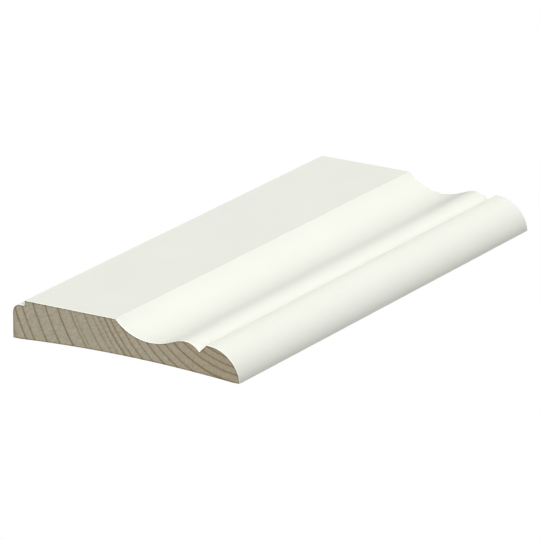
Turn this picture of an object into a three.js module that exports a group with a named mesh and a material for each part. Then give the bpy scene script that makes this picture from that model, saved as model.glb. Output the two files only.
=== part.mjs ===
// Moulded softwood architrave: the cover strip that frames a door or window.
//
// One length of planed and painted timber with one profile all along it, cut square at both ends.
// It lies on its back, as it does on a bench: X runs across the width, Y along the length, and Z up
// through the thickness. The origin is at the middle of the underside.
// Across the width from the -X side come a rebated shoulder, a broad flat, a cove that rises over
// a small crest, a V-shaped quirk and a torus. The back is hollowed so that only its two edges touch.
// All sizes are in millimetres.

import * as THREE from "three";

// Driving dimensions of the strip
const WIDTH = 95;
const THICKNESS = 14.7;
const LENGTH = 203;

// Hollow back: a shallow arc between two flat lands
const BACK = { landWidth: 3, hollowDepth: 1.65 };

// Rebated shoulder on the outer edge, with its outer corner rounded over
const SHOULDER = { width: 5.05, depth: 1.9, cornerRadius: 3.1 };

// Cove below the flat, given by its lowest line
const COVE = { radius: 20.6, floorX: 58.2, floorZ: 8.5 };

// Rounded crest between the cove and the quirk, given by its highest line
const CREST = { radius: 7.7, topX: 72.3, topZ: 11.6 };

// V-shaped quirk with both walls at the same slope, given by its lowest line
const QUIRK = { bottomZ: 8.67, wallAngle: Math.PI / 4 };

// Torus on the inner edge, given by its highest line
const TORUS = { radius: 13.5, topX: 81.8, topZ: 11.75 };

// Largest distance between a drawn arc and the straight facets that stand for it
const FACET_SAG = 0.01;

const PAINT = { color: "#ebece4", roughness: 0.45, metalness: 0 };

// Points of an arc round a centre, both ends among them, with as many facets as the sag asks for.
// Angles are in radians from +X towards +Z.
function arc(centreX, centreZ, radius, from, to) {
  const step = 2 * Math.acos(1 - FACET_SAG / radius);
  const facets = Math.max(1, Math.ceil(Math.abs(to - from) / step));
  const points = [];
  for (let i = 0; i <= facets; i += 1) {
    const angle = from + ((to - from) * i) / facets;
    points.push(new THREE.Vector2(centreX + radius * Math.cos(angle), centreZ + radius * Math.sin(angle)));
  }
  return points;
}

// The hollow of the back, from the outer land to the inner one
function backHollow() {
  const halfSpan = WIDTH / 2 - BACK.landWidth;
  const radius = (halfSpan ** 2 + BACK.hollowDepth ** 2) / (2 * BACK.hollowDepth);
  const halfAngle = Math.asin(halfSpan / radius);
  const up = Math.PI / 2;
  return arc(WIDTH / 2, BACK.hollowDepth - radius, radius, up + halfAngle, up - halfAngle);
}

// The torus from the inner edge up to the top of the quirk's wall. Its arc meets the edge a little
// above the underside, and the edge is upright below that.
function torusRound(quirkBottomX) {
  const centreZ = TORUS.topZ - TORUS.radius;
  const edgeAngle = Math.acos((WIDTH - TORUS.topX) / TORUS.radius);

  // Where the quirk's wall, a straight line up from its bottom, meets the torus
  const rise = Math.tan(QUIRK.wallAngle);
  const offsetX = quirkBottomX - TORUS.topX;
  const offsetZ = QUIRK.bottomZ - centreZ;
  const squares = 1 + rise ** 2;
  const middle = (offsetX + rise * offsetZ) / squares;
  const rest = (offsetX ** 2 + offsetZ ** 2 - TORUS.radius ** 2) / squares;
  const run = Math.sqrt(middle ** 2 - rest) - middle;
  const wallAngle = Math.atan2(offsetZ + rise * run, offsetX + run);

  return arc(TORUS.topX, centreZ, TORUS.radius, edgeAngle, wallAngle);
}

// The crest from the quirk's bottom to the cove's upper arris on the flat. A short straight slope
// joins the crest to the cove: the line that touches both arcs and passes between their centres.
function crestAndCove(quirkBottomX) {
  const crestZ = CREST.topZ - CREST.radius;
  const coveZ = COVE.floorZ + COVE.radius;
  const apart = Math.hypot(CREST.topX - COVE.floorX, coveZ - crestZ);
  const lean = Math.atan2(CREST.topX - COVE.floorX, coveZ - crestZ);
  const slope = lean - Math.acos((CREST.radius + COVE.radius) / apart);
  const up = Math.PI / 2;
  const arrisAngle = Math.asin((coveZ - THICKNESS) / COVE.radius);
  return [
    new THREE.Vector2(quirkBottomX, QUIRK.bottomZ),
    ...arc(CREST.topX, crestZ, CREST.radius, up - QUIRK.wallAngle, up + slope),
    ...arc(COVE.floorX, coveZ, COVE.radius, slope - up, arrisAngle - Math.PI),
  ];
}

// The flat and the rebated shoulder, down to the upright outer edge
function flatAndShoulder() {
  const shoulderZ = THICKNESS - SHOULDER.depth;
  const radius = SHOULDER.cornerRadius;
  return [
    new THREE.Vector2(SHOULDER.width, THICKNESS),
    new THREE.Vector2(SHOULDER.width, shoulderZ),
    ...arc(radius, shoulderZ - radius, radius, Math.PI / 2, Math.PI),
  ];
}

// The whole profile, counter-clockwise, with X from the outer edge and Z from the back
function profile() {
  // The quirk's outer wall runs straight down from where the crest reaches the wall's slope
  const crestEndX = CREST.topX + CREST.radius * Math.sin(QUIRK.wallAngle);
  const crestEndZ = CREST.topZ - CREST.radius * (1 - Math.cos(QUIRK.wallAngle));
  const quirkBottomX = crestEndX + (crestEndZ - QUIRK.bottomZ) / Math.tan(QUIRK.wallAngle);
  return [
    new THREE.Vector2(0, 0),
    ...backHollow(),
    new THREE.Vector2(WIDTH, 0),
    ...torusRound(quirkBottomX),
    ...crestAndCove(quirkBottomX),
    ...flatAndShoulder(),
  ];
}

// One length of the moulding: the profile carried along Y and centred over the origin
function architrave() {
  const geometry = new THREE.ExtrudeGeometry(new THREE.Shape(profile()), {
    depth: LENGTH,
    bevelEnabled: false,
  });
  geometry.rotateX(Math.PI / 2);
  geometry.translate(-WIDTH / 2, LENGTH / 2, 0);
  const mesh = new THREE.Mesh(geometry, new THREE.MeshStandardMaterial(PAINT));
  mesh.name = "architrave";
  return mesh;
}

const part = new THREE.Group();
part.add(architrave());

export default part;
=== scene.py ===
"""Looks for one length of moulded softwood architrave, painted on its face and edges.

The strip lies on its hollow back. X runs across the width from the shouldered outer edge to the
torus, Y along the length and Z up, in metres. Its surface is one closed mesh: the cross-section,
with its arrises eased by the paint, is carried along Y and sawn square at both ends. Paint covers
the face and the edges, the cut ends show the growth rings, and the back is bare planed pine.
"""

import logging
import math
from dataclasses import dataclass
from enum import IntEnum

import bpy
import numpy as np
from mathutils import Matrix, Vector


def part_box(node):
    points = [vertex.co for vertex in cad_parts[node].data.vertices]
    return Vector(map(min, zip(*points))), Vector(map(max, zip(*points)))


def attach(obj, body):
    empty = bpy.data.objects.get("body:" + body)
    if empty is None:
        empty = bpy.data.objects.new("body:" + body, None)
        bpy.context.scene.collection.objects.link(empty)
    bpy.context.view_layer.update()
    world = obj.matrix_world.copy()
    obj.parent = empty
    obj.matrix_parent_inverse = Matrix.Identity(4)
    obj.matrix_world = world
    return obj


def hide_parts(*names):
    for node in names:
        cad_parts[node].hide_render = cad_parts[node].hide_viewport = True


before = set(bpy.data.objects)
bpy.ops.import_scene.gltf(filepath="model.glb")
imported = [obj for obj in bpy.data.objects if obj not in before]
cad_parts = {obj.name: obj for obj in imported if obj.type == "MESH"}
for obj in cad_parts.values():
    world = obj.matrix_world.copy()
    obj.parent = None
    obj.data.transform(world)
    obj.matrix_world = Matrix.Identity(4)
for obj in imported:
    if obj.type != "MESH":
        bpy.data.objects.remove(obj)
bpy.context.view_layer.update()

LOG = logging.getLogger("architrave")
NODE = "architrave"
BODY = "root"
# This attribute weights a painted highlight on the paint and a painted shade on the end grain near the cuts
CUT_EDGE = "cut_edge"
MM = 0.001
PER_MM = 1000.0
FLOAT_SOCKET = "NodeSocketFloat"
VECTOR_SOCKET = "NodeSocketVector"

Colour = tuple[float, float, float, float]
Triple = tuple[float, float, float]
Pair = tuple[float, float]
Socket = bpy.types.NodeSocket

WHITE: Colour = (1.0, 1.0, 1.0, 1.0)


class Finish(IntEnum):
    """The finishes of the strip, each with its material's place on the mesh."""

    PAINT = 0
    END_GRAIN = 1
    PLANED_BACK = 2


@dataclass(frozen=True)
class Stretch:
    """One straight or round stretch of the cross-section.

    ease is the radius of the small round at its start, or None where it follows on smoothly, and
    centre is what it runs round, or None where it is straight.
    """

    start: np.ndarray
    end: np.ndarray
    steps: int
    ease: float | None
    finish: Finish
    centre: np.ndarray | None

    def sweep(self) -> tuple[float, float, float]:
        """Measure a round stretch.

        Returns:
            Its radius, its first angle and the signed angle that it turns through, under half a turn.
        """
        first, last = self.start - self.centre, self.end - self.centre
        angle = math.atan2(first[1], first[0])
        turned = math.remainder(math.atan2(last[1], last[0]) - angle, math.tau)
        return math.hypot(first[0], first[1]), angle, turned

    def length(self) -> float:
        """Measure the stretch.

        Returns:
            The length along the line or arc.
        """
        if self.centre is None:
            return float(np.linalg.norm(self.end - self.start))
        radius, _, turned = self.sweep()
        return radius * abs(turned)

    def sample(self, share: np.ndarray) -> tuple[np.ndarray, np.ndarray]:
        """Work out points and the ways that the surface faces there.

        On a line a point is the start plus the share of the way to the end, and on an arc it is the
        centre plus the radius at the first angle plus the share of the turn. The outline runs
        counter-clockwise, so the surface faces to the right of the way it runs.

        Args:
            share: How far along the stretch each point lies, from 0 to 1.

        Returns:
            The points and the unit normals, a row each.
        """
        if self.centre is None:
            along = (self.end - self.start) / self.length()
            points = self.start + share[:, None] * (self.end - self.start)
            return points, np.tile([along[1], -along[0]], (len(share), 1))
        radius, angle, turned = self.sweep()
        angles = angle + share * turned
        ways = np.stack([np.cos(angles), np.sin(angles)], axis=1)
        return self.centre + radius * ways, ways * math.copysign(1.0, turned)


@dataclass(frozen=True)
class Outline:
    """A closed outline as short edges: where each starts, how its two ends face, and its finish."""

    points: np.ndarray
    start_normals: np.ndarray
    end_normals: np.ndarray
    finishes: np.ndarray


def round_corner(before: Stretch, after: Stretch, steps: int = 4) -> tuple[float, np.ndarray, np.ndarray]:
    """Round the corner between two stretches.

    The round touches both sides. It takes its radius divided by the tangent of half the corner's
    angle off each, and its points are its centre plus the radius along normals that turn evenly from
    one side's to the other's. In a hollow corner the centre lies outside and the radius points back.

    Args:
        before: The stretch that ends at the corner.
        after: The stretch that starts there.
        steps: The number of edges that stand for the round.

    Returns:
        The length taken off each side, and the round's points and normals.
    """
    if after.ease is None:
        return 0.0, np.zeros((0, 2)), np.zeros((0, 2))
    facing_in = before.sample(np.ones(1))[1][0]
    facing_out = after.sample(np.zeros(1))[1][0]
    way_in = np.array([-facing_in[1], facing_in[0]])
    way_out = np.array([-facing_out[1], facing_out[0]])
    half = math.acos(float(-way_in @ way_out)) / 2
    trim = after.ease / math.tan(half)
    side = math.copysign(1.0, way_in[0] * way_out[1] - way_in[1] * way_out[0])
    centre = after.start - way_in * trim - side * after.ease * facing_in
    share = np.linspace(0, 1, steps + 1)[:, None]
    normals = facing_in * (1 - share) + facing_out * share
    normals /= np.linalg.norm(normals, axis=1, keepdims=True)
    return trim, centre + side * after.ease * normals, normals


@dataclass(frozen=True)
class Section:
    """The cross-section seen from the near end, with X from the outer edge and Z from the back."""

    width: float
    thickness: float
    land_width: float = 3.0 * MM
    hollow_depth: float = 1.65 * MM
    shoulder_width: float = 5.05 * MM
    shoulder_depth: float = 1.9 * MM
    shoulder_round: float = 3.1 * MM
    cove_radius: float = 20.6 * MM
    cove_x: float = 58.2 * MM
    cove_z: float = 8.5 * MM
    crest_radius: float = 7.9 * MM
    flank_radius: float = 9.5 * MM
    crest_x: float = 72.3 * MM
    crest_z: float = 11.65 * MM
    quirk_z: float = 8.8 * MM
    quirk_slope: float = math.radians(45)
    torus_radius: float = 13.5 * MM
    torus_x: float = 81.8 * MM
    torus_z: float = 11.75 * MM
    foot_angle: float = math.radians(64)
    back_ease: float = 0.15 * MM
    ridge_ease: float = 0.3 * MM
    arris_ease: float = 0.45 * MM
    step_ease: float = 0.12 * MM
    paint_fillet: float = 0.12 * MM
    least_ease: float = 0.02 * MM

    def quirk_bottom(self, inset: float) -> np.ndarray:
        """Find the quirk's lowest point, where its two sloping walls meet.

        The crest's wall runs straight down from where the crest reaches the wall's slope.

        Args:
            inset: How far inside the real surface the outline lies.

        Returns:
            The point.
        """
        slope = self.quirk_slope
        crest_end_x = self.crest_x + self.crest_radius * math.sin(slope)
        crest_end_z = self.crest_z - self.crest_radius * (1 - math.cos(slope))
        x = crest_end_x + (crest_end_z - self.quirk_z) / math.tan(slope)
        return np.array([x, self.quirk_z - inset / math.cos(slope)])

    def ridge(self, inset: float) -> np.ndarray:
        """Find the ridge, where the straight wall up from the quirk's bottom meets the torus's arc.

        The way up the wall is the root of the quadratic that puts its end a radius from the centre.

        Args:
            inset: How far inside the real surface the outline lies.

        Returns:
            The point.
        """
        bottom = self.quirk_bottom(inset)
        offset = bottom - np.array([self.torus_x, self.torus_z - self.torus_radius])
        climb = np.array([math.cos(self.quirk_slope), math.sin(self.quirk_slope)])
        middle = float(offset @ climb)
        rest = float(offset @ offset) - (self.torus_radius - inset) ** 2
        return bottom + (math.sqrt(middle**2 - rest) - middle) * climb

    def torus_foot(self) -> tuple[np.ndarray, np.ndarray, float]:
        """Work out the tighter arc that brings the foot of the torus nearly upright at the edge.

        It follows on smoothly from the torus at the foot's angle, and would touch the edge's upright
        just below the back. Its radius is what the torus falls short of the edge by at that angle,
        over what the angle's sine falls short of 1 by.

        Returns:
            The way that the torus faces where the foot starts, and the foot's centre and radius.
        """
        facing = np.array([math.sin(self.foot_angle), math.cos(self.foot_angle)])
        short = self.width - self.torus_x - self.torus_radius * facing[0]
        radius = short / (1 - facing[0])
        torus = np.array([self.torus_x, self.torus_z - self.torus_radius])
        return facing, torus + (self.torus_radius - radius) * facing, radius

    def tangent_slope(self) -> float:
        """Work out the slope of the straight line that touches both the cove and the crest's flank.

        It is the lean of the line between their centres, less the angle whose cosine is the sum of
        the radii over the distance between the centres.

        Returns:
            The slope as an angle.
        """
        across = self.crest_x - self.cove_x
        down = (self.cove_z + self.cove_radius) - (self.crest_z - self.flank_radius)
        reach = (self.flank_radius + self.cove_radius) / math.hypot(across, down)
        return math.atan2(across, down) - math.acos(reach)

    def stretches(self, inset: float) -> list[Stretch]:
        """List the stretches counter-clockwise from the outer land, moved into the wood by an inset.

        The inset comes off the radius of each round that bulges and adds to that of each that is
        hollow. The centres and slopes stay, and each corner is where its two neighbours meet.

        Args:
            inset: How far inside the real surface the outline lies.

        Returns:
            The stretches, each ending where the next one starts.
        """
        top, middle = self.thickness - inset, self.width / 2
        half_span = middle - self.land_width
        hollow_radius = (half_span**2 + self.hollow_depth**2) / (2 * self.hollow_depth)
        hollow = np.array([middle, self.hollow_depth - hollow_radius])
        reach = math.sqrt((hollow_radius + inset) ** 2 - (inset - hollow[1]) ** 2)

        torus = np.array([self.torus_x, self.torus_z - self.torus_radius])
        facing, foot, foot_radius = self.torus_foot()
        foot_x = foot[0] + math.sqrt((foot_radius - inset) ** 2 - (inset - foot[1]) ** 2)

        crest = np.array([self.crest_x, self.crest_z - self.crest_radius])
        flank = np.array([self.crest_x, self.crest_z - self.flank_radius])
        slope = self.tangent_slope()
        lean = np.array([-math.sin(slope), math.cos(slope)])
        wall = np.array([math.sin(self.quirk_slope), math.cos(self.quirk_slope)])

        cove = np.array([self.cove_x, self.cove_z + self.cove_radius])
        cove_radius = self.cove_radius + inset
        arris_x = cove[0] - math.sqrt(cove_radius**2 - (cove[1] - top) ** 2)

        shelf_z = self.thickness - self.shoulder_depth - inset
        step_x = self.shoulder_width + inset
        nose = np.array([self.shoulder_round, self.thickness - self.shoulder_depth - self.shoulder_round])

        back, ridge, arris, step = (
            max(ease - inset, self.least_ease)
            for ease in (self.back_ease, self.ridge_ease, self.arris_ease, self.step_ease)
        )
        fillet = self.paint_fillet + inset
        bare, paint = Finish.PLANED_BACK, Finish.PAINT
        rows = [
            (np.array([inset, inset]), 4, back, bare, None),
            (np.array([middle - reach, inset]), 40, None, bare, hollow),
            (np.array([middle + reach, inset]), 4, None, bare, None),
            (np.array([foot_x, inset]), 14, back, paint, foot),
            (torus + (self.torus_radius - inset) * facing, 52, None, paint, torus),
            (self.ridge(inset), 4, ridge, paint, None),
            (self.quirk_bottom(inset), 4, fillet, paint, None),
            (crest + (self.crest_radius - inset) * wall, 22, None, paint, crest),
            (np.array([self.crest_x, self.crest_z - inset]), 14, None, paint, flank),
            (flank + (self.flank_radius - inset) * lean, 4, None, paint, None),
            (cove - cove_radius * lean, 56, None, paint, cove),
            (np.array([arris_x, top]), 12, arris, paint, None),
            (np.array([step_x, top]), 2, step, paint, None),
            (np.array([step_x, shelf_z]), 2, fillet, paint, None),
            (np.array([nose[0], shelf_z]), 16, None, paint, nose),
            (np.array([inset, nose[1]]), 4, None, paint, None),
        ]
        starts = [row[0] for row in rows]
        ends = starts[1:] + starts[:1]
        return [Stretch(row[0], end, *row[1:]) for row, end in zip(rows, ends)]

    def outline(self, inset: float) -> Outline:
        """Join the stretches and the small rounds between them.

        Args:
            inset: How far inside the real surface the outline lies.

        Returns:
            The closed outline, which has the same edges in the same order for every inset.
        """
        rows = self.stretches(inset)
        rounds = [round_corner(before, after) for before, after in zip(rows[-1:] + rows[:-1], rows)]
        points, starts, ends, finishes = [], [], [], []
        for i, row in enumerate(rows):
            trim, corner, facing = rounds[i]
            next_trim = rounds[(i + 1) % len(rows)][0]
            share = np.linspace(trim / row.length(), 1 - next_trim / row.length(), row.steps + 1)
            places, ways = row.sample(share)
            points += [corner[:-1], places[:-1]]
            starts += [facing[:-1], ways[:-1]]
            ends += [facing[1:], ways[1:]]
            finishes.append(np.full(max(len(corner) - 1, 0), min(row.finish, rows[i - 1].finish), int))
            finishes.append(np.full(row.steps, row.finish, int))
        return Outline(*(np.concatenate(parts) for parts in (points, starts, ends, finishes)))


class Graph:
    """Writes one node tree: it adds nodes, gives their inputs values and links them."""

    def __init__(self, tree: bpy.types.NodeTree) -> None:
        """Keep the tree and empty it."""
        self.tree = tree
        tree.nodes.clear()

    def add(self, kind: str, feeds: dict | None = None, **settings: object) -> bpy.types.Node:
        """Add a node.

        Args:
            kind: The node's type.
            feeds: Its inputs by name or number, each a value or the socket that it is linked to.
            **settings: The node's own settings.

        Returns:
            The new node.
        """
        node = self.tree.nodes.new(kind)
        for name, value in settings.items():
            setattr(node, name, value)
        for key, value in (feeds or {}).items():
            if isinstance(value, Socket):
                self.tree.links.new(value, node.inputs[key])
            else:
                node.inputs[key].default_value = value
        return node

    def maths(self, operation: str, *values: object) -> Socket:
        """Add a Math node and give its result."""
        return self.add("ShaderNodeMath", dict(enumerate(values)), operation=operation).outputs[0]

    def scaled(self, place: Socket, by: object) -> Socket:
        """Multiply a place by another vector, axis by axis."""
        return self.add("ShaderNodeVectorMath", {0: place, 1: by}, operation="MULTIPLY").outputs[0]

    def vector(self, *axes: object) -> Socket:
        """Put a vector together from its axes."""
        return self.add("ShaderNodeCombineXYZ", dict(enumerate(axes))).outputs[0]

    def blend(self, share: object, first: object, second: object, way: str = "MIX") -> Socket:
        """Mix two colours by a share."""
        feeds = {0: share, 6: first, 7: second}
        return self.add("ShaderNodeMix", feeds, data_type="RGBA", blend_type=way).outputs[2]

    def spread(self, value: Socket, low: float, high: float, onto: Pair = (0.0, 1.0)) -> Socket:
        """Carry a range of a value over onto another range, held at its ends."""
        feeds = {0: value, 1: low, 2: high, 3: onto[0], 4: onto[1]}
        return self.add("ShaderNodeMapRange", feeds, clamp=True).outputs[0]

    def noise(self, place: Socket, scale: object, detail: float = 2.0) -> Socket:
        """Add a noise that middles at 0, with so many features to a unit."""
        node = self.add("ShaderNodeTexNoise", {"Vector": place, "Scale": scale, "Detail": detail})
        return self.maths("SUBTRACT", node.outputs[0], 0.5)

    def place(self) -> Socket:
        """Give the place on the piece, in metres."""
        return self.add("ShaderNodeTexCoord").outputs["Object"]

    def tinted(self, colour: object, height: Socket, strength: float) -> Socket:
        """Make a colour lighter and darker by a height that middles at 0."""
        shade = self.maths("MULTIPLY_ADD", height, strength, 1.0)
        return self.blend(1.0, colour, shade, "MULTIPLY")

    def surface(self, depth: float, height: Socket, feeds: dict) -> None:
        """Finish a material with a bump, a Principled shader and the output.

        Args:
            depth: The depth in metres that a height of 1 stands for.
            height: The bump's height.
            feeds: The shader's other inputs by name.
        """
        bump = self.add("ShaderNodeBump", {"Strength": 1.0, "Distance": depth, "Height": height})
        shader = self.add("ShaderNodeBsdfPrincipled", {**feeds, "Normal": bump.outputs[0]})
        self.add("ShaderNodeOutputMaterial", {0: shader.outputs[0]})


def open_material(name: str) -> tuple[bpy.types.Material, Graph]:
    """Make a material and a graph for its nodes.

    Args:
        name: The material's name.

    Returns:
        The material and its empty graph.
    """
    material = bpy.data.materials.new(name)
    material.use_nodes = True
    return material, Graph(material.node_tree)


@dataclass(frozen=True)
class Pattern:
    """A node group: its own graph, its inputs and its outputs."""

    graph: Graph
    taken: dict[str, Socket]
    given: bpy.types.Node

    @classmethod
    def opened(cls, name: str, inputs: dict[str, tuple[str, object]], outputs: list[str]) -> "Pattern":
        """Make an empty node group with named sockets.

        Args:
            name: The group's name.
            inputs: Each input's socket type and value, with None for a place.
            outputs: The names of its outputs, which are all values.

        Returns:
            The group, ready for its nodes.
        """
        graph = Graph(bpy.data.node_groups.new(name, "ShaderNodeTree"))
        for label, (kind, value) in inputs.items():
            socket = graph.tree.interface.new_socket(label, in_out="INPUT", socket_type=kind)
            if value is not None:
                socket.default_value = value
        for label in outputs:
            graph.tree.interface.new_socket(label, in_out="OUTPUT", socket_type=FLOAT_SOCKET)
        taken = graph.add("NodeGroupInput").outputs
        return cls(graph, {label: taken[label] for label in inputs}, graph.add("NodeGroupOutput"))

    def give(self, label: str, value: Socket) -> None:
        """Put a value out of the group."""
        self.graph.tree.links.new(value, self.given.inputs[label])

    def used_in(self, graph: Graph, feeds: dict[str, object]) -> bpy.types.NodeOutputs:
        """Place the group in a material with values of its own.

        Args:
            graph: The material's graph.
            feeds: The group's inputs by name, each a value or the socket that it is linked to.

        Returns:
            The placed group's outputs.
        """
        return graph.add("ShaderNodeGroup", feeds, node_tree=self.graph.tree).outputs


@dataclass(frozen=True)
class GrowthRings:
    """The tree's growth rings, as circles round a pith that lies above the strip's inner edge.

    A period is a run of like years: how many, the width of each ring, and how dark its latewood is.
    The lean, the climb and the sway move the pith along Y, and the scales set how fine each noise is.
    All sizes here are in mm, because the pattern is worked out in mm.
    """

    half_length: float
    pith_x: float = 50.2
    pith_z: float = 46.5
    first_ring: float = 38.45
    first_strength: float = 0.78
    periods: tuple[tuple[int, float, float], ...] = (
        (2, 2.6, 0.75),
        (1, 3.25, 0.95),
        (1, 3.25, 0.76),
        (2, 2.94, 0.84),
        (1, 2.94, 0.66),
        (2, 2.94, 0.83),
        (1, 2.2, 0.95),
        (2, 2.2, 0.56),
        (1, 3.2, 0.66),
        (1, 3.9, 0.42),
        (1, 1.5, 0.66),
        (1, 4.9, 0.96),
        (3, 4.9, 0.86),
        (1, 3.3, 0.93),
        (1, 3.8, 0.45),
    )
    lead_in: float = 1.1
    foot: float = 0.42
    foot_share: float = 0.22
    core: float = 0.13
    fall: float = 0.32
    rings_in_ramp: int = 6
    lean: float = 0.021
    climb: float = -0.006
    sway: float = 0.9
    sway_rate: float = 0.017
    wander_scale: Triple = (0.22, 0.012, 0.22)
    season_rate: float = 0.35
    ray_scale: Triple = (110.0, 0.4, 0.5)

    def rings(self) -> list[tuple[float, float, float]]:
        """List the rings outwards, each one ring's width past the one before.

        Returns:
            Each ring's radius, the strength of its latewood and its width.
        """
        rings = [(self.first_ring, self.first_strength, self.periods[0][1])]
        for years, width, strength in self.periods:
            rings += [(rings[-1][0] + width * (year + 1), strength, width) for year in range(years)]
        return rings

    def ramp(self, graph: Graph, radius: Socket, rings: list[tuple[float, float, float]]) -> Socket:
        """Add a colour ramp for a few rings.

        The wood darkens a little over the lead-in towards each ring, then quickly from the foot of
        its dark band. It stays dark over the core and clears quickly outside it.

        Args:
            graph: Where the nodes go.
            radius: The distance from the pith.
            rings: The radius, strength and width of each ring, as many as one ramp holds.

        Returns:
            How dark the latewood is, 0 away from these rings.
        """
        low = rings[0][0] - 2 * self.lead_in
        high = rings[-1][0] + 2 * self.lead_in
        node = graph.add("ShaderNodeValToRGB", {0: graph.spread(radius, low, high)})
        stops = []
        for ring, strength, width in rings:
            stops.append((ring - min(self.lead_in, width / 2), 0.0))
            stops.append((ring - self.foot, strength * self.foot_share))
            stops += [(ring - self.core, strength), (ring + self.core, strength)]
            stops.append((ring + self.core + self.fall, 0.0))
        elements = node.color_ramp.elements
        elements.remove(elements[1])
        for i, (place, strength) in enumerate(stops):
            share = (place - low) / (high - low)
            stop = elements.new(share) if i else elements[0]
            stop.position = share
            stop.color = (strength, strength, strength, 1.0)
        return node.outputs[0]

    def pattern(self) -> Pattern:
        """Make the node group that draws the rings and the rays at a place in the wood.

        The radius is the distance in X and Z from the pith, which leans and sways a little along Y,
        plus a slow noise. The noise reaches half either way, so it is doubled, times the wobble. The
        rays are a noise drawn out along the radius and squeezed round the pith. The season is a
        noise of the radius alone, so that some years are paler than others.

        Returns:
            The group, which takes a place in metres and the wobble in mm.
        """
        inputs = {"Place": (VECTOR_SOCKET, None), "Wobble": (FLOAT_SOCKET, 0.0)}
        pattern = Pattern.opened("pine_growth", inputs, ["Latewood", "Season", "Rays"])
        graph = pattern.graph
        place = graph.scaled(pattern.taken["Place"], (PER_MM, PER_MM, PER_MM))
        axes = graph.add("ShaderNodeSeparateXYZ", {0: place}).outputs
        along = graph.maths("ADD", axes[1], self.half_length)
        sway = graph.maths("SINE", graph.maths("MULTIPLY", along, self.sway_rate))
        pith_x = graph.maths("MULTIPLY_ADD", along, self.lean, self.pith_x)
        pith_x = graph.maths("MULTIPLY_ADD", sway, self.sway, pith_x)
        pith_z = graph.maths("MULTIPLY_ADD", along, self.climb, self.pith_z)
        across = graph.maths("SUBTRACT", axes[0], pith_x)
        up = graph.maths("SUBTRACT", axes[2], pith_z)
        wander = graph.noise(graph.scaled(place, self.wander_scale), 1.0)
        wander = graph.maths("MULTIPLY", wander, pattern.taken["Wobble"])
        reach = graph.add("ShaderNodeVectorMath", {0: graph.vector(across, up)}, operation="LENGTH")
        radius = graph.maths("MULTIPLY_ADD", wander, 2.0, reach.outputs["Value"])

        rings = self.rings()
        groups = [rings[i : i + self.rings_in_ramp] for i in range(0, len(rings), self.rings_in_ramp)]
        latewood = self.ramp(graph, radius, groups[0])
        for group in groups[1:]:
            latewood = graph.maths("ADD", latewood, self.ramp(graph, radius, group))
        pattern.give("Latewood", latewood)
        pattern.give("Season", graph.noise(graph.vector(radius), self.season_rate))

        turn = graph.maths("ARCTAN2", across, up)
        drawn = graph.scaled(graph.vector(turn, radius, along), self.ray_scale)
        pattern.give("Rays", graph.noise(drawn, 1.0))
        return pattern


def fine_texture() -> Pattern:
    """Make the node group for a fine even texture: a noise with its own stretch, middling at 0.

    Returns:
        The group, which takes a place in metres, a stretch for each axis and the features per mm.
    """
    inputs = {
        "Place": (VECTOR_SOCKET, None),
        "Stretch": (VECTOR_SOCKET, (1.0, 1.0, 1.0)),
        "Per mm": (FLOAT_SOCKET, 1.0),
    }
    pattern = Pattern.opened("fine_texture", inputs, ["Height"])
    graph = pattern.graph
    place = graph.scaled(pattern.taken["Place"], pattern.taken["Stretch"])
    scale = graph.maths("MULTIPLY", pattern.taken["Per mm"], PER_MM)
    pattern.give("Height", graph.noise(place, scale))
    return pattern


@dataclass(frozen=True)
class Patterns:
    """The patterns that the finishes share."""

    growth: Pattern
    texture: Pattern

    def fine(self, graph: Graph, place: Socket, per_mm: float, stretch: Triple = (1.0, 1.0, 1.0)) -> Socket:
        """Place the fine texture in a material and give its height."""
        feeds = {"Place": place, "Stretch": stretch, "Per mm": per_mm}
        return self.texture.used_in(graph, feeds)["Height"]


@dataclass(frozen=True)
class PaintFinish:
    """Warm white factory paint, satin, with a slight peel and the wood's grain telling through it."""

    film: Colour = (0.802, 0.81, 0.738, 1.0)
    # A painted highlight: the paler paint colour along the near saw cut
    cut_rim_highlight: Colour = (0.93, 0.935, 0.9, 1.0)
    mottle: float = 0.02
    clouds_per_mm: float = 0.05
    cloud_height: float = 0.3
    peel_per_mm: float = 0.8
    grain_per_mm: float = 0.7
    grain_stretch: Triple = (1.0, 0.03, 1.0)
    roughness: float = 0.42
    roughness_swing: float = 0.04
    ior: float = 1.5
    depth: float = 0.012 * MM

    def material(self, patterns: Patterns) -> bpy.types.Material:
        """Make the paint.

        Args:
            patterns: The shared patterns.

        Returns:
            The material, nearly even, and paler along the near saw cut, a painted highlight.
        """
        material, graph = open_material("satin_paint")
        place = graph.place()
        cut_highlight_and_shade = graph.add("ShaderNodeAttribute", attribute_name=CUT_EDGE).outputs["Fac"]
        clouds = patterns.fine(graph, place, self.clouds_per_mm)
        # The film turns paler along the near cut, a painted highlight
        colour = graph.tinted(graph.blend(cut_highlight_and_shade, self.film, self.cut_rim_highlight), clouds, self.mottle)
        peel = patterns.fine(graph, place, self.peel_per_mm)
        grain = patterns.fine(graph, place, self.grain_per_mm, self.grain_stretch)
        swing = (self.roughness - self.roughness_swing, self.roughness + self.roughness_swing)
        roughness = graph.spread(clouds, -self.cloud_height, self.cloud_height, swing)
        feeds = {"Base Color": colour, "Roughness": roughness, "IOR": self.ior}
        graph.surface(self.depth, graph.maths("ADD", peel, grain), feeds)
        return material


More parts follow.
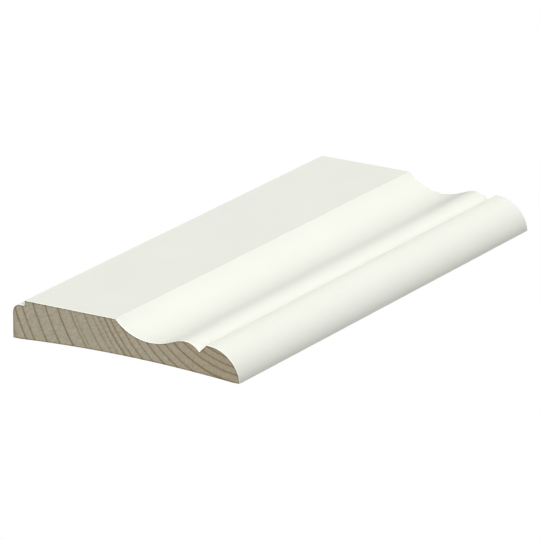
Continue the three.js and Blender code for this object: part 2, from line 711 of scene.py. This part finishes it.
@dataclass(frozen=True)
class EndGrainFinish:
    """Bare pine sawn across: dull tan earlywood between thin brown bands of latewood."""

    earlywood: Colour = (0.35, 0.318, 0.24, 1.0)
    latewood: Colour = (0.217, 0.147, 0.075, 1.0)
    warm: Colour = (0.925, 0.885, 0.82, 1.0)
    # A painted shade: the darker tint along the outline of the end grain
    outline: Colour = (0.62, 0.58, 0.51, 1.0)
    warm_from: float = 0.15
    warm_to: float = 0.95
    wobble: float = 0.15
    season_tint: float = 0.1
    ray_tint: float = 0.6
    speckle_tint: float = 0.35
    speckle_per_mm: float = 1.8
    patch_tint: float = 0.08
    patches_per_mm: float = 0.6
    scratches_per_mm: float = 2.4
    scratch_stretch: Triple = (1.0, 1.0, 0.1)
    roughness: float = 0.85
    depth: float = 0.05 * MM

    def material(self, patterns: Patterns, half_width: float) -> bpy.types.Material:
        """Make the end grain.

        Args:
            patterns: The shared patterns.
            half_width: Half the strip's width in metres, to place where the wood turns warmer.

        Returns:
            The material, with rings, rays and speckle, and darker along the outline, a painted shade.
        """
        material, graph = open_material("sawn_end_grain")
        place = graph.place()
        cut_highlight_and_shade = graph.add("ShaderNodeAttribute", attribute_name=CUT_EDGE).outputs["Fac"]
        growth = patterns.growth.used_in(graph, {"Place": place, "Wobble": self.wobble})
        speckle = patterns.fine(graph, place, self.speckle_per_mm)
        patches = patterns.fine(graph, place, self.patches_per_mm)

        colour = graph.blend(growth["Latewood"], self.earlywood, self.latewood)
        colour = graph.tinted(colour, growth["Season"], self.season_tint)
        colour = graph.tinted(colour, growth["Rays"], self.ray_tint)
        colour = graph.tinted(colour, speckle, self.speckle_tint)
        colour = graph.tinted(colour, patches, self.patch_tint)
        across = graph.add("ShaderNodeSeparateXYZ", {0: place}).outputs[0]
        warmth = graph.spread(across, self.warm_from * half_width, self.warm_to * half_width)
        colour = graph.blend(1.0, colour, graph.blend(warmth, WHITE, self.warm), "MULTIPLY")
        # The wood darkens along its outline, a painted shade
        colour = graph.blend(1.0, colour, graph.blend(cut_highlight_and_shade, WHITE, self.outline), "MULTIPLY")

        scratches = patterns.fine(graph, place, self.scratches_per_mm, self.scratch_stretch)
        height = graph.maths("ADD", graph.maths("ADD", speckle, scratches), growth["Latewood"])
        graph.surface(self.depth, height, {"Base Color": colour, "Roughness": self.roughness})
        return material


@dataclass(frozen=True)
class PlanedBackFinish:
    """Bare pine planed along the grain, with the paint's overspray along its two edges.

    The overspray covers the spray core at each edge and fades out over the rest of the spray width,
    and its drift makes that ragged.
    """

    earlywood: Colour = (0.68, 0.57, 0.4, 1.0)
    latewood: Colour = (0.47, 0.32, 0.16, 1.0)
    overspray: Colour = (0.78, 0.78, 0.71, 1.0)
    spray_width: float = 1.1 * MM
    spray_core: float = 0.44 * MM
    spray_drift: float = 4.4 * MM
    spray_per_mm: float = 0.4
    spray_stretch: Triple = (1.0, 0.4, 1.0)
    wobble: float = 0.5
    season_tint: float = 0.12
    fibre_tint: float = 0.25
    fibres_per_mm: float = 2.2
    fibre_stretch: Triple = (1.0, 0.02, 1.0)
    patch_tint: float = 0.12
    patches_per_mm: float = 0.12
    patch_stretch: Triple = (1.0, 0.2, 1.0)
    knife_pitch: float = 1.6 * MM
    ripple_height: float = 0.12
    ring_height: float = 0.8
    roughness: float = 0.62
    depth: float = 0.02 * MM

    def material(self, patterns: Patterns, half_width: float) -> bpy.types.Material:
        """Make the back.

        Args:
            patterns: The shared patterns.
            half_width: Half the strip's width in metres, to find the edges with.

        Returns:
            The material, with the same rings as the ends, long fibres, and ripples from the planer.
        """
        material, graph = open_material("planed_pine")
        place = graph.place()
        growth = patterns.growth.used_in(graph, {"Place": place, "Wobble": self.wobble})
        fibres = patterns.fine(graph, place, self.fibres_per_mm, self.fibre_stretch)
        patches = patterns.fine(graph, place, self.patches_per_mm, self.patch_stretch)

        colour = graph.blend(growth["Latewood"], self.earlywood, self.latewood)
        colour = graph.tinted(colour, fibres, self.fibre_tint)
        colour = graph.tinted(colour, patches, self.patch_tint)
        colour = graph.tinted(colour, growth["Season"], self.season_tint)

        axes = graph.add("ShaderNodeSeparateXYZ", {0: place}).outputs
        drift = patterns.fine(graph, place, self.spray_per_mm, self.spray_stretch)
        from_middle = graph.maths("ABSOLUTE", axes[0])
        from_middle = graph.maths("MULTIPLY_ADD", drift, self.spray_drift, from_middle)
        spray = graph.spread(from_middle, half_width - self.spray_width, half_width - self.spray_core)
        colour = graph.blend(spray, colour, self.overspray)

        ripple = graph.maths("SINE", graph.maths("MULTIPLY", axes[1], math.tau / self.knife_pitch))
        height = graph.maths("MULTIPLY_ADD", ripple, self.ripple_height, fibres)
        height = graph.maths("MULTIPLY_ADD", growth["Latewood"], self.ring_height, height)
        graph.surface(self.depth, height, {"Base Color": colour, "Roughness": self.roughness})
        return material


@dataclass(frozen=True)
class SkinRing:
    """One ring of the skin: its outline's inset, its place along Y, and how near a saw cut it is."""

    inset: float
    y: float
    # cut weights the painted highlight on the paint and the painted shade on the end grain
    cut: float


@dataclass(frozen=True)
class MouldedStrip:
    """The strip: its section carried along Y, with both ends sawn square and their arrises dulled.

    The film is how thick the paint shows at a cut, and the wood is darker from it to the darkened
    inset, a painted shade along the end grain's outline. Beside the near cut the paint is paler over
    the rim, a painted highlight, with the rim's share half way.
    """

    section: Section
    half_length: float
    arris: float = 0.03 * MM
    film: float = 0.06 * MM
    # The painted shade on the end grain reaches in to this inset
    darkened: float = 0.75 * MM
    # The painted highlight on the paint reaches along Y over the rim
    rim: float = 1.0 * MM
    rim_share: float = 0.3
    station_gap: float = 8 * MM

    def skin_rings(self) -> list[SkinRing]:
        """List the rings from inside the near end, out over its arris, along Y and into the far end.

        Returns:
            The rings. The far end mirrors the near one, but its paint isn't built up along the cut.
        """
        half = self.half_length
        near = [
            SkinRing(self.darkened, -half, 0.0),
            SkinRing(self.film, -half, 1.0),
            SkinRing(self.arris, -half, 1.0),
            SkinRing(0.0, self.arris - half, 1.0),
            SkinRing(0.0, self.rim / 2 - half, self.rim_share),
            SkinRing(0.0, self.rim - half, 0.0),
        ]
        inner = half - self.rim
        stations = np.linspace(-inner, inner, round(2 * inner / self.station_gap) + 1)
        middle = [SkinRing(0.0, y, 0.0) for y in stations[1:-1]]
        bare = [ring.cut if ring.inset >= self.film else 0.0 for ring in near]
        far = [SkinRing(ring.inset, -ring.y, cut) for ring, cut in zip(near, bare)][::-1]
        return near + middle + far

    @staticmethod
    def face_finishes(outline: Outline, rings: int) -> np.ndarray:
        """Give each face its finish.

        The sawn ends are end grain out to the paint's film. The back has no film, so along it the
        end grain takes up the film's width as well.

        Args:
            outline: The outline, with the finish of each of its edges.
            rings: The number of rings.

        Returns:
            The finishes of the four-sided faces, ring by ring, and then of the two caps.
        """
        finishes = np.tile(outline.finishes, (rings - 1, 1))
        finishes[[0, -1]] = Finish.END_GRAIN
        film_rows = finishes[[1, -2]]
        finishes[[1, -2]] = np.where(film_rows == Finish.PLANED_BACK, Finish.END_GRAIN, film_rows)
        return np.append(finishes.ravel(), [Finish.END_GRAIN] * 2)

    @staticmethod
    def corner_normals(rings: list[SkinRing], rows: list[Outline]) -> np.ndarray:
        """Work out how the surface faces at each corner of each face.

        A corner looks the way its outline faces, times the face's step along Y, plus the way along Y,
        times the face's step into the wood, so that it is right on the sides, on the arrises and on
        the ends alike. The two caps look straight along Y.

        Args:
            rings: The rings.
            rows: The outline of each ring.

        Returns:
            The unit normals, a row for each corner.
        """
        starts = np.stack([row.start_normals for row in rows])
        ends = np.stack([row.end_normals for row in rows])
        facing = np.stack([starts[:-1], starts[1:], ends[1:], ends[:-1]], axis=2)
        along = np.diff([ring.y for ring in rings])[:, None, None]
        inward = np.diff([ring.inset for ring in rings])[:, None, None]
        inward = np.broadcast_to(inward, facing.shape[:3])
        normals = np.stack([facing[..., 0] * along, inward, facing[..., 1] * along], axis=-1)
        normals /= np.linalg.norm(normals, axis=-1, keepdims=True)
        caps = [np.tile([0.0, way, 0.0], (starts.shape[1], 1)) for way in (-1.0, 1.0)]
        return np.concatenate([normals.reshape(-1, 3), *caps])

    def mesh(self) -> bpy.types.Mesh:
        """Build the closed surface.

        A point is the outline's point for the ring's inset, moved half the width over, at the ring's
        place along Y. Four-sided faces join each ring to the next, and a cap closes each end.

        Returns:
            The mesh, with its finishes, its own normals and the nearness to a saw cut.
        """
        rings = self.skin_rings()
        outlines = {inset: self.section.outline(inset) for inset in {ring.inset for ring in rings}}
        rows = [outlines[ring.inset] for ring in rings]
        flat = np.stack([row.points for row in rows])
        across = flat[..., 0] - self.section.width / 2
        along = np.broadcast_to(np.array([ring.y for ring in rings])[:, None], across.shape)
        points = np.stack([across, along, flat[..., 1]], axis=-1)

        corners = np.arange(across.size).reshape(across.shape)
        following = np.roll(corners, -1, axis=1)
        quads = np.stack([corners[:-1], corners[1:], following[1:], following[:-1]], axis=-1)
        faces = quads.reshape(-1, 4).tolist() + [corners[0].tolist(), corners[-1, ::-1].tolist()]

        mesh = bpy.data.meshes.new("moulded_strip")
        mesh.from_pydata(points.reshape(-1, 3).tolist(), [], faces, shade_flat=False)
        mesh.polygons.foreach_set("material_index", self.face_finishes(rows[0], len(rings)))
        mesh.normals_split_custom_set(self.corner_normals(rings, rows).tolist())
        cut = np.repeat([ring.cut for ring in rings], across.shape[1])
        mesh.attributes.new(CUT_EDGE, "FLOAT", "POINT").data.foreach_set("value", cut)
        mesh.update()
        return mesh

    def dressed(self, materials: dict[Finish, bpy.types.Material]) -> bpy.types.Object:
        """Make the piece, give it its finishes and stand it in for the plain solid.

        Args:
            materials: The material of each finish.

        Returns:
            The piece, riding on the part's body.
        """
        mesh = self.mesh()
        for finish in Finish:
            mesh.materials.append(materials[finish])
        piece = bpy.data.objects.new("moulded_strip", mesh)
        bpy.context.scene.collection.objects.link(piece)
        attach(piece, BODY)
        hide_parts(NODE)
        LOG.info("%s: %d faces, %d points", piece.name, len(mesh.polygons), len(mesh.vertices))
        return piece


@dataclass(frozen=True)
class Lamp:
    """A soft distant lamp: where it stands, how bright it is and how wide it looks, in degrees."""

    name: str
    toward: Triple
    strength: float
    width: float = 28.0

    @classmethod
    def on_hoop(cls, tilt: float, strength: float, lean: float = 27.0) -> "Lamp":
        """Set a lamp on a hoop over the strip that leans forward.

        Args:
            tilt: The lamp's angle from upright to the right, round the hoop.
            strength: Its brightness.
            lean: The angle that the hoop leans forward by.

        Returns:
            The lamp.
        """
        across, forward = math.radians(tilt), math.radians(lean)
        flat = math.cos(forward)
        toward = (flat * math.sin(across), -math.sin(forward), flat * math.cos(across))
        return cls(f"hoop_{tilt:.0f}", toward, strength)

    def lit(self) -> bpy.types.Object:
        """Make the lamp, which no gloss mirrors. A white face square to it gives back its strength.

        Returns:
            The lamp.
        """
        light = bpy.data.lights.new(self.name, "SUN")
        light.energy = self.strength * math.pi
        light.angle = math.radians(self.width)
        lamp = bpy.data.objects.new(self.name, light)
        lamp.visible_glossy = False
        lamp.rotation_euler = Vector(self.toward).to_track_quat("Z", "Y").to_euler()
        bpy.context.scene.collection.objects.link(lamp)
        return lamp


@dataclass(frozen=True)
class Studio:
    """A plain white studio that shows no shadow: soft lamps, an even room and a pale floor."""

    sheen: float = 0.3
    floor_glow: float = 0.14
    floor_reach: float = 4.0
    floor_drop: float = 0.02 * MM
    lamps: tuple[Lamp, ...] = (
        Lamp.on_hoop(-25, 0.07),
        Lamp.on_hoop(0, 0.705),
        Lamp.on_hoop(36, 0.355),
        Lamp.on_hoop(60, 0.32),
        Lamp.on_hoop(80, 0.035),
        Lamp("near_end_fill", (0.0, -1.0, 0.02), 0.3, 10.0),
        Lamp("far_end_fill", (0.0, 1.0, 0.02), 0.7, 10.0),
        Lamp("under_fill", (-0.78, 0.3, -0.55), 0.8),
    )

    def floor_material(self) -> bpy.types.Material:
        """Make the floor's finish, which glows evenly so that it takes no shadow.

        Returns:
            The material, white to the camera from above, clear from below, and dim to the piece.
        """
        material, graph = open_material("pale_floor")
        seen = graph.add("ShaderNodeLightPath").outputs["Is Camera Ray"]
        strength = graph.spread(seen, 0.0, 1.0, (self.floor_glow, 1.0))
        glow = graph.add("ShaderNodeEmission", {"Strength": strength}).outputs[0]
        clear = graph.add("ShaderNodeBsdfTransparent").outputs[0]
        below = graph.add("ShaderNodeNewGeometry").outputs["Backfacing"]
        shader = graph.add("ShaderNodeMixShader", {0: below, 1: glow, 2: clear})
        graph.add("ShaderNodeOutputMaterial", {0: shader.outputs[0]})
        return material

    def floor(self) -> bpy.types.Object:
        """Lay the floor: a square whose corners are the floor's reach times each pair of signs.

        Returns:
            The floor, a hair below the strip, which casts no shadow.
        """
        signs = np.array([[-1, -1], [1, -1], [1, 1], [-1, 1]]) * self.floor_reach
        points = np.column_stack([signs, np.full(4, -self.floor_drop)])
        mesh = bpy.data.meshes.new("floor")
        mesh.from_pydata(points.tolist(), [], [[0, 1, 2, 3]])
        mesh.materials.append(self.floor_material())
        floor = bpy.data.objects.new("floor", mesh)
        floor.visible_shadow = False
        bpy.context.scene.collection.objects.link(floor)
        return floor

    def world(self) -> bpy.types.World:
        """Make the room: white to the camera, and a pale sheen where the piece mirrors it.

        Returns:
            The world, which lights nothing else.
        """
        world = bpy.data.worlds.new("white_room")
        world.use_nodes = True
        graph = Graph(world.node_tree)
        seen = graph.add("ShaderNodeLightPath").outputs["Is Camera Ray"]
        strength = graph.spread(seen, 0.0, 1.0, (self.sheen, 1.0))
        shade = graph.add("ShaderNodeBackground", {"Color": WHITE, "Strength": strength})
        graph.add("ShaderNodeOutputWorld", {0: shade.outputs[0]})
        world.cycles_visibility.diffuse = False
        bpy.context.scene.world = world
        return world

    def built(self) -> None:
        """Light the studio, with the plain view that keeps the colours as they are."""
        bpy.context.scene.view_settings.view_transform = "Standard"
        self.world()
        self.floor()
        for lamp in self.lamps:
            lamp.lit()
        LOG.info("studio: %d lamps", len(self.lamps))


@dataclass(frozen=True)
class Viewpoint:
    """The camera: the way it looks from, in degrees, how far off it is, and what it looks at.

    The lens and the sensor are in mm, and it sees as far as its distance times its reach.
    """

    azimuth: float = 31.78
    elevation: float = 18.38
    distance: float = 2.272
    target: Triple = (0.021 * MM, -4.781 * MM, 6.248 * MM)
    lens: float = 416.0
    sensor: float = 36.0
    reach: float = 10.0

    def placed(self) -> bpy.types.Object:
        """Make the camera and look through it.

        It stands off the target by the distance, along the way that its two angles give.

        Returns:
            The camera.
        """
        turn, tilt = math.radians(self.azimuth), math.radians(self.elevation)
        flat = math.cos(tilt)
        back = Vector((math.sin(turn) * flat, -math.cos(turn) * flat, math.sin(tilt)))
        data = bpy.data.cameras.new("camera")
        data.lens = self.lens
        data.sensor_width = self.sensor
        data.clip_end = self.reach * self.distance
        camera = bpy.data.objects.new("camera", data)
        camera.location = Vector(self.target) + back * self.distance
        camera.rotation_euler = (-back).to_track_quat("-Z", "Y").to_euler()
        bpy.context.scene.collection.objects.link(camera)
        bpy.context.scene.camera = camera
        return camera


def main() -> None:
    """Build the strip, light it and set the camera."""
    logging.basicConfig(level=logging.INFO, format="%(name)s: %(message)s")
    low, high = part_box(NODE)
    width, length, thickness = high - low
    Viewpoint().placed()
    Studio().built()
    patterns = Patterns(GrowthRings(length / 2 * PER_MM).pattern(), fine_texture())
    materials = {
        Finish.PAINT: PaintFinish().material(patterns),
        Finish.END_GRAIN: EndGrainFinish().material(patterns, width / 2),
        Finish.PLANED_BACK: PlanedBackFinish().material(patterns, width / 2),
    }
    MouldedStrip(Section(width, thickness), length / 2).dressed(materials)


if __name__ == "__main__":
    main()
